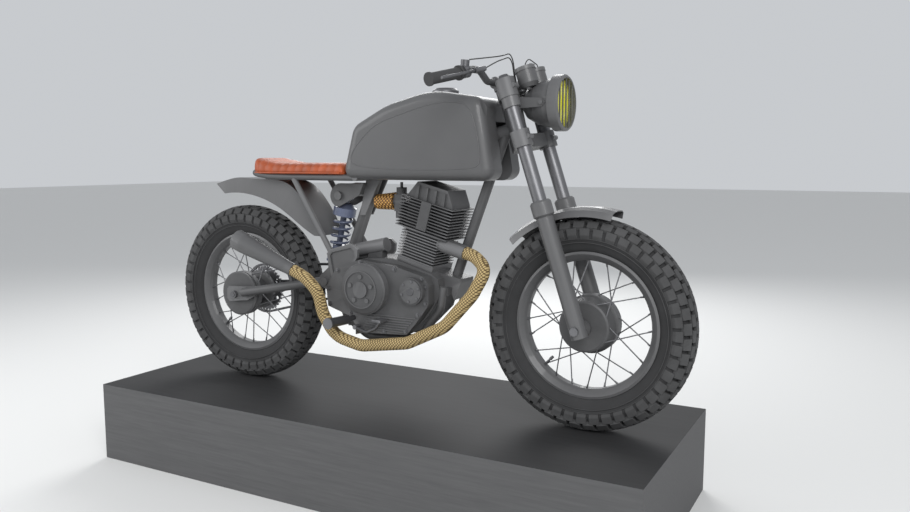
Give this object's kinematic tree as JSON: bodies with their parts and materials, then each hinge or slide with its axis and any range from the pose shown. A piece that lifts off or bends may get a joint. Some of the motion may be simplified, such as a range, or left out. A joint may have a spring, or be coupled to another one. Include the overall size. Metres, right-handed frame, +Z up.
{
  "type": "brat style motorcycle on a plinth",
  "caption": "Dark brat style single with a boxy tank, flat rolled leather seat, wire wheels, wrapped exhaust and one rear shock, standing upright on a plain plinth.",
  "frame": {"origin": "on the floor under the middle of the whole object's bounding box", "axes": "+X to the front wheel, +Y to the rider's left, +Z up"},
  "size_m": [2.115, 0.776, 1.4524],
  "materials": {
    "plinth_board": "matte",
    "frame_paint": "satin",
    "dark_steel": "satin",
    "engine_metal": "satin",
    "spring_paint": "satin",
    "body_paint": "satin",
    "seat_leather": "satin",
    "filter_mesh": "satin",
    "wrap_cloth": "matte",
    "black_rubber": "matte",
    "lens_glass": "glossy",
    "cable_sheath": "matte",
    "tyre_rubber": "matte"
  },
  "bodies": {
    "chassis": {"plinth": "plinth_board", "head_tube": "frame_paint", "spine_tube": "frame_paint", "down_tube": "frame_paint", "seat_tube": "frame_paint", "seat_loop": "frame_paint", "seat_stays": "frame_paint", "pivot_plates": "frame_paint", "cradle_rails": "frame_paint", "swingarm": "frame_paint", "rear_axle": "dark_steel", "rear_brake_plate": "engine_metal", "shock_body": "spring_paint", "shock_spring": "spring_paint", "fuel_tank": "body_paint", "tank_cap": "dark_steel", "seat": "seat_leather", "rear_fender": "body_paint", "crankcase": "engine_metal", "clutch_cover": "engine_metal", "cylinder": "engine_metal", "cylinder_head": "engine_metal", "carburettor": "engine_metal", "air_filter": "filter_mesh", "exhaust_pipe": "wrap_cloth", "silencer": "body_paint", "footpegs": "dark_steel", "foot_levers": "dark_steel", "drive_chain": "dark_steel", "front_sprocket": "dark_steel", "stand_bracket": "frame_paint"},
    "steering": {"lower_clamp": "frame_paint", "upper_clamp": "frame_paint", "fork_tubes": "dark_steel", "fork_sliders": "body_paint", "handlebar": "frame_paint", "grips": "black_rubber", "hand_levers": "dark_steel", "headlamp_shell": "body_paint", "headlamp_lens": "lens_glass", "instruments": "body_paint", "control_cables": "cable_sheath", "front_fender": "body_paint", "front_axle": "dark_steel", "front_brake_plate": "engine_metal"},
    "front_wheel": {"front_tyre": "tyre_rubber", "front_rim": "body_paint", "front_spokes": "dark_steel", "front_hub": "engine_metal"},
    "rear_wheel": {"rear_tyre": "tyre_rubber", "rear_rim": "body_paint", "rear_spokes": "dark_steel", "rear_hub": "engine_metal", "rear_sprocket": "dark_steel"},
    "side_stand": {"side_stand": "frame_paint"}
  },
  "joints": [
    {"name": "steering_turn", "type": "hinge", "parent": "chassis", "child": "steering", "pos_m": [0.67978, 0, 0.60717], "axis": [-0.314, 0, 0.9494], "range_deg": [-30, 30]},
    {"name": "front_wheel_spin", "type": "hinge", "parent": "steering", "child": "front_wheel", "pos_m": [0.7225, 0, 0.6213], "axis": [0, 1, 0], "continuous": true},
    {"name": "rear_wheel_spin", "type": "hinge", "parent": "chassis", "child": "rear_wheel", "pos_m": [-0.6525, 0, 0.6213], "axis": [0, 1, 0], "continuous": true},
    {"name": "side_stand_fold", "type": "hinge", "parent": "chassis", "child": "side_stand", "pos_m": [-0.0525, 0.108, 0.522], "axis": [0, -1, 0], "range_deg": [0, 95]}
  ]
}
